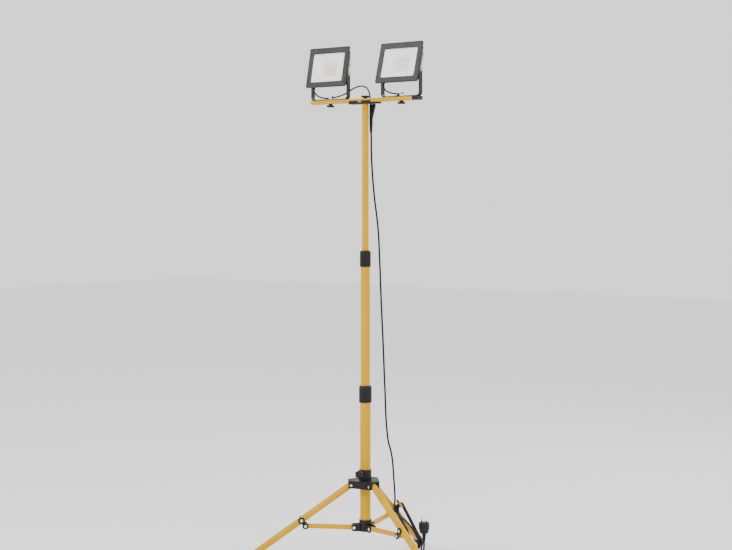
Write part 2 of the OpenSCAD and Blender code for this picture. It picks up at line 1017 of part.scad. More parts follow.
module left_housing() {
    on_lamp(-lamp_x, left_tilt) housing();
}
module left_bezel() {
    on_lamp(-lamp_x, left_tilt) bezel();
}
module left_glass() {
    on_lamp(-lamp_x, left_tilt) glass();
}
module left_reflector() {
    on_lamp(-lamp_x, left_tilt) reflector();
}
module left_led_board() {
    on_lamp(-lamp_x, left_tilt) led_board();
}
module left_gland() {
    on_lamp(-lamp_x, left_tilt) gland();
}
module left_pivot_bolts() {
    on_lamp(-lamp_x, left_tilt) pivot_bolts();
}
module right_housing() {
    on_lamp(lamp_x, right_tilt) housing();
}
module right_bezel() {
    on_lamp(lamp_x, right_tilt) bezel();
}
module right_glass() {
    on_lamp(lamp_x, right_tilt) glass();
}
module right_reflector() {
    on_lamp(lamp_x, right_tilt) reflector();
}
module right_led_board() {
    on_lamp(lamp_x, right_tilt) led_board();
}
module right_gland() {
    on_lamp(lamp_x, right_tilt) gland();
}
module right_pivot_bolts() {
    on_lamp(lamp_x, right_tilt) pivot_bolts();
}

// ---- cable hook, hank, cable and plug ----

// A bent rod: out sideways from the rear leg, then up along it, with a plastic tip
module cable_hook() {
    start = leg_d / 2 + run;
    on_leg(REAR) {
        color(yellow) {
            translate([hook_s, -hook_out, 0])
                rotate([-90, 0, 0])
                    cylinder(r = hook_r, h = hook_out - start);
            translate([hook_s, -hook_out, 0])
                sphere(r = hook_r);
            translate([0, -hook_out, 0])
                rod_x(hook_r, hook_cap_s, hook_s);
        }
        color(black)
            translate([0, -hook_out, 0])
                rod_x(hook_cap_r, hook_tip_s, hook_cap_s);
    }
}

// The folded cable: a flat bundle with round ends, hung on the hook
module cord_hank() {
    end_r = fold_r + cord_d / 2;
    color(black)
        difference() {
            rotate([0, 0, leg_angle(REAR)])
                translate([hank_r, -hank_lat, hank_z])
                    rotate([0, 0, -hank_skew])
                        rotate([0, hank_dip, 0])
                            rotate([90, 0, 0])
                                linear_extrude(hank_t, center = true) {
                                    translate([0, -end_r])
                                        square([hank_len, 2 * end_r]);
                                    circle(r = end_r);
                                    translate([hank_len, 0])
                                        circle(r = end_r);
                                }
            on_leg(REAR)
                translate([hook_s, -hook_out, 0])
                    rotate([-90, 0, 0])
                        cylinder(r = hook_r + gap, h = hook_out);
        }
}

module power_cord() {
    color(black) {
        swept_tube(cord_route, cord_d, 4, 8, [1, 0.2, 0]);
        swept_tube(tail_route, cord_d, 3, 8, [0.6, 1, 0]);
    }
}

module plug() {
    shoulder = 10;
    color(black)
        translate([plug_x, plug_y, 0])
            rotate_extrude()
                polygon([[0, relief_low], [relief_tip_r, relief_low], [relief_root_r, plug_low],
                    [2 * relief_root_r - 1, plug_low + 2], [plug_r - 1.5, plug_low + shoulder],
                    [plug_r, plug_low + shoulder + 4],
                    [plug_r, plug_face - 2], [plug_r - 2, plug_face], [0, plug_face]]);
    color(steel)
        for (side = [-1, 1])
            translate([plug_x + side * plug_pin_gap / 2, plug_y, plug_face])
                cylinder(r = plug_pin_r, h = plug_pin_len);
}

lower_tube();
lower_hub();
lower_hub_rivets();
lower_lock_collet();
lower_lock_ring();
middle_tube();
middle_guide();
upper_lock_collet();
upper_lock_ring();
upper_tube();
upper_guide();
mast_head();
crossbar();
crossbar_caps();
cable_joint();
left_lead();
right_lead();
crossbar_knob();
left_lamp_knob();
right_lamp_knob();
hub_knob();
left_bracket();
left_bolt();
right_bracket();
right_bolt();
left_housing();
left_bezel();
left_glass();
left_reflector();
left_led_board();
left_gland();
left_pivot_bolts();
right_housing();
right_bezel();
right_glass();
right_reflector();
right_led_board();
right_gland();
right_pivot_bolts();
leg_hub();
leg_hub_pins();
left_leg();
front_leg();
rear_leg();
left_foot();
front_foot();
rear_foot();
left_clip();
front_clip();
rear_clip();
left_clip_rivets();
front_clip_rivets();
rear_clip_rivets();
left_brace();
front_brace();
rear_brace();
cable_hook();
power_cord();
cord_hank();
plug();
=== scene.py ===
"""Twin floodlight on a telescopic tripod: camera, cords, materials and detailed pieces. Metres."""
import math

import bmesh
import bpy
from mathutils import Matrix, Vector


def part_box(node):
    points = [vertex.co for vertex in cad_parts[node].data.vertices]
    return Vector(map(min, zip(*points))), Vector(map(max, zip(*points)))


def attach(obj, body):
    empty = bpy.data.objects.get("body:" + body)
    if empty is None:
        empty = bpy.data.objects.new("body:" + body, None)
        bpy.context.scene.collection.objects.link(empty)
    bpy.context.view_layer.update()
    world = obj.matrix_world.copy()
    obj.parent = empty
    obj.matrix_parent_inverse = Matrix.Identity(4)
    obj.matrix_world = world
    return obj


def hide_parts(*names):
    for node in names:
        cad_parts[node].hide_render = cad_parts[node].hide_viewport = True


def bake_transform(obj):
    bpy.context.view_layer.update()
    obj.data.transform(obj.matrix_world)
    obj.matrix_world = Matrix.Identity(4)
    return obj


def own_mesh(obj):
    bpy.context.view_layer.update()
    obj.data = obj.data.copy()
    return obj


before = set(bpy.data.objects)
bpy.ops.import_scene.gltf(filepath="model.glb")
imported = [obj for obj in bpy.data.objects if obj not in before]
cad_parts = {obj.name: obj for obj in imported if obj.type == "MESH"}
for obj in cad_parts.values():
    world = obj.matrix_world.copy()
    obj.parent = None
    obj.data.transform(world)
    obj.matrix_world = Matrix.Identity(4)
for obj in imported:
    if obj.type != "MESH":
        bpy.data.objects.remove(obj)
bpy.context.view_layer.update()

MM = 0.001


# ---- camera, floor and light ----

sensor_w = 36
lens = 73.18
lens_shift = -0.0974
camera_place = (2.927, -3.975, 1.2208)
camera_aim = (-0.5926, 0.8055, 0)

world_strength = 1.4
floor_half = 14
floor_grey = 0.9
floor_rough = 0.8

# name: place, target, size, power
lights = {
    "key_light": ((-1.2, -3.2, 3.4), (0, 0, 1.2), 1.6, 110),
    "fill_light": ((3.4, -1.0, 2.2), (0, 0, 1.0), 1.8, 45),
    "rim_light": ((0.6, 3.0, 2.8), (0, 0, 1.3), 1.5, 45),
}


def aimed(direction):
    return Vector(direction).to_track_quat("-Z", "Y").to_euler()


def make_camera():
    data = bpy.data.cameras.new("camera")
    data.sensor_width = sensor_w
    data.lens = lens
    data.shift_y = lens_shift
    camera = bpy.data.objects.new("camera", data)
    bpy.context.scene.collection.objects.link(camera)
    camera.location = camera_place
    camera.rotation_euler = aimed(camera_aim)
    bpy.context.scene.camera = camera


def add_light(name, place, target, size, power):
    data = bpy.data.lights.new(name, "AREA")
    data.size = size
    data.energy = power
    light = bpy.data.objects.new(name, data)
    bpy.context.scene.collection.objects.link(light)
    light.location = place
    light.rotation_euler = aimed(Vector(target) - Vector(place))


def make_floor():
    mesh = bpy.data.meshes.new("floor")
    corners = [(-1, -1), (1, -1), (1, 1), (-1, 1)]
    mesh.from_pydata([(x * floor_half, y * floor_half, 0) for x, y in corners], [], [(0, 1, 2, 3)])
    floor = bpy.data.objects.new("floor", mesh)
    bpy.context.scene.collection.objects.link(floor)
    material = bpy.data.materials.new("floor_paint")
    material.use_nodes = True
    shader = material.node_tree.nodes["Principled BSDF"]
    shader.inputs["Base Color"].default_value = (floor_grey, floor_grey, floor_grey, 1)
    shader.inputs["Roughness"].default_value = floor_rough
    mesh.materials.append(material)


def make_studio():
    world = bpy.data.worlds.new("studio")
    bpy.context.scene.world = world
    world.use_nodes = True
    background = world.node_tree.nodes["Background"]
    background.inputs["Color"].default_value = (1, 1, 1, 1)
    background.inputs["Strength"].default_value = world_strength
    for name, values in lights.items():
        add_light(name, *values)
    make_floor()


# ---- materials ----

# The darker and lighter colour of the mottle, the range of roughness, the scale of the grain,
# the strength of its bump, and what else differs from a plain painted surface
finishes = {
    "yellow_paint": dict(
        dark=(0.50, 0.265, 0.0), light=(0.58, 0.31, 0.0), rough=(0.28, 0.40), grain=900, bump=0.12,
        gloss=0.12, wear=(0.42, 0.215, 0.0), streak=0.3),
    "black_plastic": dict(
        dark=(0.0035, 0.0035, 0.004), light=(0.007, 0.007, 0.008), rough=(0.36, 0.52), grain=1600,
        bump=0.35, gloss=0.25, wear=(0.014, 0.014, 0.015)),
    "cable_rubber": dict(
        dark=(0.0025, 0.0025, 0.003), light=(0.005, 0.005, 0.006), rough=(0.34, 0.48), grain=1200,
        bump=0.15, gloss=0.25),
    "plug_plastic": dict(
        dark=(0.004, 0.004, 0.0045), light=(0.008, 0.008, 0.009), rough=(0.42, 0.56), grain=1400,
        bump=0.30, gloss=0.25),
    "foot_rubber": dict(
        dark=(0.007, 0.007, 0.007), light=(0.014, 0.0135, 0.013), rough=(0.60, 0.80), grain=700,
        bump=0.45, gloss=0.2, wear=(0.03, 0.028, 0.025)),
    "black_paint": dict(
        dark=(0.003, 0.003, 0.003), light=(0.006, 0.006, 0.006), rough=(0.30, 0.46), grain=1100,
        bump=0.28, gloss=0.28, wear=(0.012, 0.012, 0.0125)),
    "bezel_paint": dict(
        dark=(0.020, 0.020, 0.021), light=(0.029, 0.029, 0.030), rough=(0.40, 0.56), grain=1300,
        bump=0.40, gloss=0.3, wear=(0.042, 0.042, 0.043)),
    "lamp_glass": dict(
        dark=(0.95, 0.96, 0.96), light=(1, 1, 1), rough=(0.02, 0.09), grain=30, bump=0.02),
    "white_reflector": dict(
        dark=(0.93, 0.93, 0.92), light=(0.98, 0.98, 0.97), rough=(0.30, 0.45), grain=260,
        bump=0.04),
    "led_cream": dict(
        dark=(0.80, 0.77, 0.60), light=(0.88, 0.85, 0.70), rough=(0.35, 0.5), grain=500, bump=0.08),
    "zinc_steel": dict(
        dark=(0.55, 0.56, 0.58), light=(0.72, 0.73, 0.74), rough=(0.22, 0.42), grain=420, bump=0.12,
        metallic=1.0, wear=(0.42, 0.42, 0.42)),
    "brass_zinc": dict(
        dark=(0.58, 0.47, 0.22), light=(0.72, 0.62, 0.34), rough=(0.25, 0.45), grain=420, bump=0.12,
        metallic=1.0, wear=(0.48, 0.40, 0.22)),
}

# Noise as (scale, detail), the part of it that a ramp spreads out, and the depth of the grain
mottle_noise, mottle_span = (14, 4), (0.35, 0.65)
wear_noise, wear_span = (55, 8), (0.66, 0.74)
gloss_noise, gloss_span = (38, 5), (0.3, 0.7)
grain_detail = 3
grain_depth = 0.0004

glass_ior = 1.2
glass_alpha = 0.25


def finish_material(name, dark, light, rough, grain, bump, metallic=0.0, gloss=0.3, wear=None,
                    streak=1.0):
    """Mottled colour, uneven roughness, a fine grain and, if wear is a colour, rubbed patches."""
    material = bpy.data.materials.new(name)
    material.use_nodes = True
    tree = material.node_tree
    shader = tree.nodes["Principled BSDF"]
    shader.inputs["Metallic"].default_value = metallic
    shader.inputs["Specular IOR Level"].default_value = gloss
    place = tree.nodes.new("ShaderNodeTexCoord")
    stretch = tree.nodes.new("ShaderNodeMapping")
    stretch.inputs["Scale"].default_value = (1, 1, streak)
    tree.links.new(place.outputs["Object"], stretch.inputs["Vector"])

    def noise(scale, detail, vector=stretch.outputs["Vector"]):
        node = tree.nodes.new("ShaderNodeTexNoise")
        node.inputs["Scale"].default_value = scale
        node.inputs["Detail"].default_value = detail
        tree.links.new(vector, node.inputs["Vector"])
        return node.outputs["Fac"]

    def ramp(value, span, first, last):
        node = tree.nodes.new("ShaderNodeValToRGB")
        for element, position, colour in zip(node.color_ramp.elements, span, (first, last)):
            element.position = position
            element.color = (*colour, 1)
        tree.links.new(value, node.inputs["Fac"])
        return node.outputs["Color"]

    colour = ramp(noise(*mottle_noise), mottle_span, dark, light)
    if wear:
        rub = ramp(noise(*wear_noise), wear_span, (0, 0, 0), (1, 1, 1))
        mix = tree.nodes.new("ShaderNodeMixRGB")
        tree.links.new(rub, mix.inputs["Fac"])
        tree.links.new(colour, mix.inputs["Color1"])
        mix.inputs["Color2"].default_value = (*wear, 1)
        colour = mix.outputs["Color"]
    tree.links.new(colour, shader.inputs["Base Color"])
    spread = ramp(noise(*gloss_noise), gloss_span, (rough[0],) * 3, (rough[1],) * 3)
    tree.links.new(spread, shader.inputs["Roughness"])
    relief = tree.nodes.new("ShaderNodeBump")
    relief.inputs["Strength"].default_value = bump
    relief.inputs["Distance"].default_value = grain_depth
    tree.links.new(noise(grain, grain_detail, place.outputs["Object"]), relief.inputs["Height"])
    tree.links.new(relief.outputs["Normal"], shader.inputs["Normal"])
    return material


def make_clear(material):
    """Turns a finish into tempered glass, almost clear, with faint smears in its gloss."""
    shader = material.node_tree.nodes["Principled BSDF"]
    shader.inputs["Transmission Weight"].default_value = 1.0
    shader.inputs["IOR"].default_value = glass_ior
    shader.inputs["Alpha"].default_value = glass_alpha


def make_materials():
    made = {name: finish_material(name, **values) for name, values in finishes.items()}
    make_clear(made["lamp_glass"])
    return made


# ---- mesh helpers: a part is a list of points and a list of faces, in millimetres ----

def new_piece(name, verts, faces, body, slot, smooth=35):
    """A piece in metres with its finish, riding its body. Edges over smooth degrees stay sharp."""
    mesh = bpy.data.meshes.new(name)
    mesh.from_pydata([tuple(v) for v in verts], [], faces)
    work = bmesh.new()
    work.from_mesh(mesh)
    bmesh.ops.recalc_face_normals(work, faces=work.faces)
    work.to_mesh(mesh)
    work.free()
    mesh.materials.append(materials[slot])
    mesh.shade_smooth()
    mesh.set_sharp_from_angle(angle=math.radians(smooth))
    piece = bpy.data.objects.new(name, mesh)
    bpy.context.scene.collection.objects.link(piece)
    if body:
        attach(piece, body)
    return piece


def scaled(part):
    """A part's points in metres, with its faces."""
    return [Vector(v) * MM for v in part[0]], part[1]


def moved(part, matrix):
    return [matrix @ Vector(v) for v in part[0]], part[1]


def new_part(name, part, place, body, slot, smooth=35):
    """A piece from a part in millimetres, moved to its place."""
    return new_piece(name, *scaled(moved(part, place)), body, slot, smooth)


def joined(parts):
    """Several parts as one."""
    verts, faces = [], []
    for some_verts, some_faces in parts:
        base = len(verts)
        verts += [Vector(v) for v in some_verts]
        faces += [tuple(base + j for j in face) for face in some_faces]
    return verts, faces


def loft(rings, closed=False):
    """A skin over rings of equal count, with flat ends, or joined end to end if closed."""
    count = len(rings[0])
    verts = [v for ring in rings for v in ring]
    last = len(rings) if closed else len(rings) - 1
    faces = []
    for k in range(last):
        here, there = k * count, (k + 1) % len(rings) * count
        for j in range(count):
            nxt = (j + 1) % count
            faces.append((here + j, here + nxt, there + nxt, there + j))
    if not closed:
        faces.append(tuple(range(count - 1, -1, -1)))
        faces.append(tuple((len(rings) - 1) * count + j for j in range(count)))
    return verts, faces


def outline(count, z, reach):
    """A ring round the Z axis at height z, where reach gives the radius for an angle."""
    ring = []
    for j in range(count):
        angle = 2 * math.pi * j / count
        r = reach(angle)
        ring.append(Vector((r * math.cos(angle), r * math.sin(angle), z)))
    return ring


def lathe(profile, count=32, closed=False):
    """A turned part along +Z, from (radius, height) pairs."""
    return loft([outline(count, z, lambda angle: r) for r, z in profile], closed)


def band_ring(inner, wall, width, count=28):
    """A flat band with eased outer edges, round the Z axis."""
    ease = min(wall, width) * 0.25
    outer = inner + wall
    profile = [(inner, -width / 2), (outer - ease, -width / 2), (outer, -width / 2 + ease),
               (outer, width / 2 - ease), (outer - ease, width / 2), (inner, width / 2)]
    return lathe(profile, count, closed=True)


def star(r, lobes, depth, z, count=72):
    """Outline of a star grip."""
    return outline(
        count, z, lambda angle: r - depth * (0.5 - 0.5 * math.cos(lobes * angle)) ** 1.6)


def round_rect(half_w, half_h, r, steps=6):
    """Corner points of a rounded rectangle, as (across, up) pairs."""
    points = []
    for cx, cy, start in ((1, 1, 0), (-1, 1, 90), (-1, -1, 180), (1, -1, 270)):
        for k in range(steps + 1):
            angle = math.radians(start + 90 * k / steps)
            points.append((cx * (half_w - r) + r * math.cos(angle),
                           cy * (half_h - r) + r * math.sin(angle)))
    return points


def smooth_route(points, steps):
    """Catmull-Rom curve through the points, the same as in the CAD source."""
    line = []
    for k in range(len(points) - 1):
        a, b = points[max(k - 1, 0)], points[k]
        c, d = points[k + 1], points[min(k + 2, len(points) - 1)]
        for j in range(steps):
            t = j / steps
            line.append(0.5 * ((2 * b) + (c - a) * t + (2 * a - 5 * b + 4 * c - d) * t * t
                               + (3 * b - a - 3 * c + d) * t ** 3))
    line.append(points[-1])
    return line


def tube(line, r, around=16):
    """A round tube on a line, its rings turned as little as possible."""
    count = len(line)
    rings = []
    up = None
    for k, centre in enumerate(line):
        ahead = (line[min(k + 1, count - 1)] - line[max(k - 1, 0)]).normalized()
        if up is None:
            up = ahead.orthogonal().normalized()
        up = (up - ahead * up.dot(ahead)).normalized()
        across = ahead.cross(up)
        angles = [2 * math.pi * j / around for j in range(around)]
        rings.append([centre + r * (up * math.cos(angle) + across * math.sin(angle))
                      for angle in angles])
    return loft(rings)


def thinned(line, least):
    """The line without points that are closer than least to the one before."""
    kept = [line[0]]
    for point in line[1:-1]:
        if (point - kept[-1]).length >= least:
            kept.append(point)
    return kept + [line[-1]]


def cut_at(line, z):
    """The line above height z and the line below it, with the point on z in both."""
    for k in range(len(line) - 1):
        if line[k].z >= z > line[k + 1].z:
            share = (line[k].z - z) / (line[k].z - line[k + 1].z)
            point = line[k].lerp(line[k + 1], share)
            return line[:k + 1] + [point], [point] + line[k + 1:]
    raise ValueError(z)


# ---- places that the CAD source has too, in millimetres and degrees ----

cord_d = 6.5
lead_d = 5.0
cord_exit = (6, 24)
plug_at = (21, 316)

sides = {"left": -1, "right": 1}
tilts = {"left": 11.48, "right": 15.62}
lamp_x = 146
lamp_z = 1656.2

leg_azimuths = {"left": 220.45, "front": 340.45, "rear": 100.45}
leg_pivot = (47.5, 0, 290)
leg_pitch = 35
hub_knob_dir = 280.45
hub_knob_z = 330

drop_route = [
    (6, 24, 1480.5), (6, 24, 1460), (4, 28, 1430), (1, 32, 1400), (-1, 39, 1340), (-1, 51, 1250),
    (2, 69, 1139), (-1, 82, 1038), (-6, 98, 896), (-10, 114, 760), (-13, 125, 657),
    (-16, 135, 574), (-19, 145, 485), (-18, 155, 415), (-13, 163, 381), (-10, 170, 342),
    (-9, 177, 276), (-9, 183, 220)]
tail_route = [(-4, 332, 5), (8, 324, 7), (18, 318, 16), (21, 316, 30), (21, 316, 46)]

# Each lead from its lamp to its cable tie, and from the tie to the cable joint
lead_routes = {
    "left": (
        [(-204, -16, 1610), (-203, -17, 1602), (-196, -13, 1589), (-182, -4, 1580),
         (-165, 6, 1577), (-146, 11, 1578)],
        [(-146, 11, 1578), (-120, 14, 1583), (-93, 15, 1591), (-68, 17, 1604), (-48, 20, 1612),
         (-31, 22, 1614), (-14, 24, 1608), (-3, 24, 1594), (2, 24, 1575), (4, 24, 1552)]),
    "right": (
        [(88, -19, 1611), (89, -20, 1603), (95, -16, 1591), (110, -9, 1583), (126, 0, 1580),
         (137, 7, 1579), (141, 13, 1578)],
        [(141, 13, 1578), (136, 18, 1577), (122, 18, 1576), (100, 18, 1572), (72, 19, 1567),
         (48, 22, 1566), (30, 24, 1567), (20, 24, 1563), (17, 24, 1552)]),
}

# The hank hangs on the rear leg's hook: X runs down it, Y through its thickness, Z across it
hank_place = (208.7, -28.5, 173.4)
hank_turn = -5
hank_pitch = 48.5
hank_len = 196
fold_r = 19.5
layer = 6.6


def turned(degrees, axis):
    return Matrix.Rotation(math.radians(degrees), 4, axis)


def lamp_frame(side):
    return Matrix.Translation((sides[side] * lamp_x, 0, lamp_z)) @ turned(-tilts[side], "X")


def leg_frame(leg):
    """The frame of an open leg: X runs down the leg from its pivot."""
    return turned(leg_azimuths[leg], "Z") @ Matrix.Translation(leg_pivot) @ turned(leg_pitch, "Y")


hank_frame = (turned(leg_azimuths["rear"], "Z") @ Matrix.Translation(hank_place)
              @ turned(hank_turn, "Z") @ turned(hank_pitch, "Y"))
along_x = Matrix.Rotation(math.pi / 2, 4, "Y")


# ---- cords ----

# The mains cord is cut where it passes a lock ring and the hub, so that each length has one joint
upper_cut_z = 1040
lower_cut_z = 590
hub_cut_z = 312
cord_steps = 8
cord_least_step = 3
lead_steps = 5

hank_entry = [(-27, 5.5, -6.5), (-2, 6.6, -12.5), (30, 6.6, -8), (68, 6.6, 3.5), (105, 6.6, 13.5),
              (140, 6.6, 18.6)]
hank_exit = [(203, -6.6, 18.2), (209.5, -6.7, 14), (213.8, -7.4, 7.2), (215.2, -9.0, -0.8),
             (212.8, -12.4, -10.4)]
first_run_x = 164

tie_inner, tie_wall, tie_w = 3.3, 0.9, 2.4
tie_head_y = 5.2
tie_head_rows = ((-2.2, 1.6), (-1.8, 2.1), (1.8, 2.1), (2.2, 1.6))


def fold(end_x, y, first, turns=8):
    """Points round one end of the hank, from the side that has the sign first to the other."""
    out = 1 if end_x else -1
    points = []
    for k in range(1, turns):
        angle = math.pi * k / turns
        points.append((end_x + out * fold_r * math.sin(angle), y, first * fold_r * math.cos(angle)))
    return points


def run(from_x, to_x, z, y_from, y_to, count=24):
    """Points down or up one side of the hank, moving over to the next layer on the way."""
    points = []
    for k in range(count + 1):
        share = k / count
        ease = share * share * (3 - 2 * share)
        points.append((from_x + (to_x - from_x) * share, y_from + (y_to - y_from) * ease, z))
    return points


def hank_route():
    """Three runs down, each in its own layer, and two back up that cross to the next layer."""
    down, up = fold_r, -fold_r
    points = hank_entry + run(first_run_x, hank_len, down, layer, layer, 4)
    points += fold(hank_len, layer, 1)
    points += run(hank_len, 0, up, layer, 0)
    points += fold(0, 0, -1)
    points += run(0, hank_len, down, 0, 0)
    points += fold(hank_len, 0, 1)
    points += run(hank_len, 0, up, 0, -layer)
    points += fold(0, -layer, -1)
    points += run(0, hank_len, down, -layer, -layer)
    points += hank_exit
    return [hank_frame @ Vector(p) for p in points]


def make_cord_piece(name, line, d, body):
    return new_piece(name, *tube(line, d / 2 * MM), body, "cable_rubber", 60)


def make_hanging_length(name, line, body, joint, anchor, node=None, **pieces):
    """One length of the hanging mains cord."""
    piece = make_cord_piece(name, line, cord_d, body)
    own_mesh(piece)
    if node:
        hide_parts(node)


def make_mains_cord(plug_pieces, relief):
    points = [Vector(p) for p in drop_route] + hank_route() + [Vector(p) for p in tail_route]
    whole = [p * MM for p in thinned(smooth_route(points, cord_steps), cord_least_step)]
    upper, rest = cut_at(whole, upper_cut_z * MM)
    middle, rest = cut_at(rest, lower_cut_z * MM)
    lower, last = cut_at(rest, hub_cut_z * MM)
    make_hanging_length("mains_cord_upper", upper, "middle_mast", "upper_slide", upper[-1],
                        "power_cord", with_pieces=[relief])
    make_hanging_length("mains_cord_middle", middle, "lower_mast", "middle_slide", middle[-1])
    make_hanging_length("mains_cord_lower", lower, "lower_mast", "hub_slide", lower[0])

    end = make_cord_piece("mains_cord_hank", last, cord_d, None)
    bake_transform(end)
    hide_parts("power_cord", "cord_hank")


def make_lead_length(name, line, node):
    """One length of a lamp lead."""
    piece = make_cord_piece(name, line, lead_d, None)
    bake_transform(piece)
    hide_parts(node)


def make_lead_tie(side, to_tie):
    """Cable tie round the end of a line, at the bracket's bolt."""
    turn = (to_tie[-1] - to_tie[-3]).normalized().to_track_quat("Z", "Y").to_matrix().to_4x4()
    head = loft([[Vector((x, y + tie_head_y, z)) for x, y in round_rect(half, half, 0.6, 2)]
                 for z, half in tie_head_rows])
    band = joined([band_ring(tie_inner, tie_wall, tie_w), head])
    new_piece(side + "_lead_tie", *moved(scaled(band), Matrix.Translation(to_tie[-1]) @ turn),
              side + "_bracket", "black_plastic")


def make_lamp_leads(side):
    to_tie, to_joint = [[p * MM for p in smooth_route([Vector(q) for q in route], lead_steps)]
                        for route in lead_routes[side]]
    node = side + "_lead"
    make_lead_length(side + "_lead_lamp_end", to_tie, node)
    make_lead_length(side + "_lead_joint_end", to_joint, node)
    make_lead_tie(side, to_tie)


# ---- cable fittings ----

relief_low, relief_high = 1457, 1482.5
relief_top = 1.5
relief_steps = 7
relief_root_r, relief_growth = 3.7, 1.7

# Cable joint, as (z, centre x, half width, half depth, pinch between the two leads)
joint_foot_rows = [(1481, 6.0, 5.0, 5.0, 0), (1481.8, 6.0, 5.7, 5.7, 0), (1484, 6.0, 5.9, 5.9, 0)]
joint_grip_z, joint_grip_pitch, joint_grips = 1485, 3.2, 5
joint_foot_x, joint_foot_r, joint_groove_r = 6.0, 5.9, 5.4
joint_top_rows = [
    (1503, 6.1, 6.0, 5.9, 0.05), (1512, 7.2, 7.2, 5.9, 0.2), (1524, 9.0, 9.0, 5.9, 0.34),
    (1538, 11.1, 11.1, 5.9, 0.42), (1549, 12.8, 12.8, 5.9, 0.46), (1550.6, 13.0, 13.0, 5.7, 0.46),
    (1551.6, 13.0, 12.2, 5.0, 0.46)]
pinch_w = 0.42

plug_sleeve_z, plug_sleeve_len, plug_sleeve_steps = 46, 26, 8
plug_sleeve_r, plug_sleeve_growth = 4.2, 2.9
plug_profile = [
    (7.6, 72), (10, 73.2), (13.8, 74.8), (15.6, 77.4), (16.2, 80), (16.5, 85), (16.8, 86.6),
    (18.2, 87.6), (18.5, 88.6), (18.5, 109.5), (18.1, 111.2), (17, 112), (12, 112)]
plug_flutes, plug_flute_depth, plug_flute_low, plug_flute_high = 16, 0.7, 76, 86
plug_slot_depth, plug_slot_z, plug_slot_sine = 1.6, 90, 0.985
pin_half_pitch = 9.5
pin_profile = [(2.2, 117), (2.4, 117.6), (2.4, 128.6), (2.0, 130.2), (1.1, 131)]
collar_profile = [(3.2, 111.6), (3.2, 112.4), (2.7, 112.9), (2.4, 117.1)]

hook_tip = (140, -42, 0)
hook_cap_profile = [
    (1.2, -1.2), (3.2, -0.6), (4.4, 0.8), (4.7, 2.4), (4.7, 10.2), (4.4, 11.2), (3.4, 11.9)]

rib_inner, rib_wall, rib_w = 13.8, 0.9, 3.0
rib_places = (456, 462.5, 469)


def make_relief():
    """Tapered, slotted sleeve where the mains cord leaves the cable joint."""
    length = relief_high - relief_top - relief_low
    pitch = length / relief_steps
    profile = []
    for k in range(relief_steps):
        z = relief_low + length * k / relief_steps
        r = relief_root_r + relief_growth * k / relief_steps
        profile += [(r, z), (r + 0.45, z + 0.3), (r + 0.45, z + pitch * 0.6),
                    (r - 0.1, z + pitch * 0.72)]
    profile.append((5.6, relief_high))
    return new_part("cord_relief", lathe(profile, 24), Matrix.Translation((*cord_exit, 0)),
                    "upper_mast", "cable_rubber", 40)


def make_cable_joint():
    """Moulded Y piece: two leads in at its top, one cord out at its bottom."""
    rows = list(joint_foot_rows)
    for k in range(joint_grips):
        z = joint_grip_z + k * joint_grip_pitch
        rows += [(z + rise, joint_foot_x, r, r, 0) for rise, r in (
            (0, joint_foot_r), (0.4, joint_groove_r), (1.2, joint_groove_r), (1.6, joint_foot_r))]
    rows += joint_top_rows
    rings = []
    count = 48
    for z, centre, half_w, half_d, pinch in rows:
        ring = []
        for j in range(count):
            angle = 2 * math.pi * j / count
            across = math.copysign(abs(math.cos(angle)) ** 0.8, math.cos(angle))
            waist = 1 - pinch * math.exp(-(across / pinch_w) ** 2)
            ring.append(Vector((centre + half_w * across,
                                cord_exit[1] + half_d * math.sin(angle) * waist, z)))
        rings.append(ring)
    piece = new_piece("cable_joint_moulding", *scaled(loft(rings)), "upper_mast", "black_plastic",
                      40)
    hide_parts("cable_joint")


def plug_reach(r, z, angle):
    """Radius of the plug's body, less its grip flutes and the two slots down its sides."""
    if plug_flute_low < z < plug_flute_high:
        r -= plug_flute_depth * (0.5 + 0.5 * math.cos(plug_flutes * angle)) ** 2
    if z > plug_slot_z and abs(math.sin(angle)) > plug_slot_sine:
        r -= plug_slot_depth
    return r


def make_plug():
    """Round two-pin plug with grip recesses, standing on the end of its cord."""
    profile = []
    for k in range(plug_sleeve_steps):
        z = plug_sleeve_z + plug_sleeve_len * k / plug_sleeve_steps
        r = plug_sleeve_r + plug_sleeve_growth * k / plug_sleeve_steps
        profile += [(r, z), (r + 0.5, z + 0.4), (r + 0.5, z + 2.0), (r - 0.2, z + 2.4)]
    profile += plug_profile
    rings = [outline(64, z, lambda angle: plug_reach(r, z, angle)) for r, z in profile]
    place = Matrix.Translation((*plug_at, 0))
    body = new_part("plug_body", loft(rings), place, "rear_leg", "plug_plastic", 40)
    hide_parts("plug")
    pins = []
    collars = []
    for x in (-pin_half_pitch, pin_half_pitch):
        spot = place @ Matrix.Translation((x, 0, 0))
        pins.append(moved(lathe(pin_profile, 24), spot))
        collars.append(moved(lathe(collar_profile, 24), spot))
    pins = new_piece("plug_pins", *scaled(joined(pins)), "rear_leg", "zinc_steel")
    collars = new_piece("plug_pin_collars", *scaled(joined(collars)), "rear_leg", "plug_plastic")
    return [body, pins, collars]


def make_hook_cap():
    """Dipped plastic tip on the end of the cable hook, along the rear leg."""
    place = leg_frame("rear") @ Matrix.Translation(hook_tip) @ along_x
    new_part("hook_cap", lathe(hook_cap_profile, 28), place, "rear_leg", "black_plastic")


def make_foot_ribs():
    """Three grip ribs round the top of each rubber foot."""
    for leg in leg_azimuths:
        ribs = [moved(band_ring(rib_inner, rib_wall, rib_w, 36), Matrix.Translation((0, 0, s)))
                for s in rib_places]
        new_part(leg + "_foot_ribs", joined(ribs), leg_frame(leg) @ along_x, leg + "_leg",
                 "foot_rubber")


# ---- knobs ----

knob_lobes = 6
crossbar_knob_shown = 10
hub_knob_reach = (27.3, 53.3)


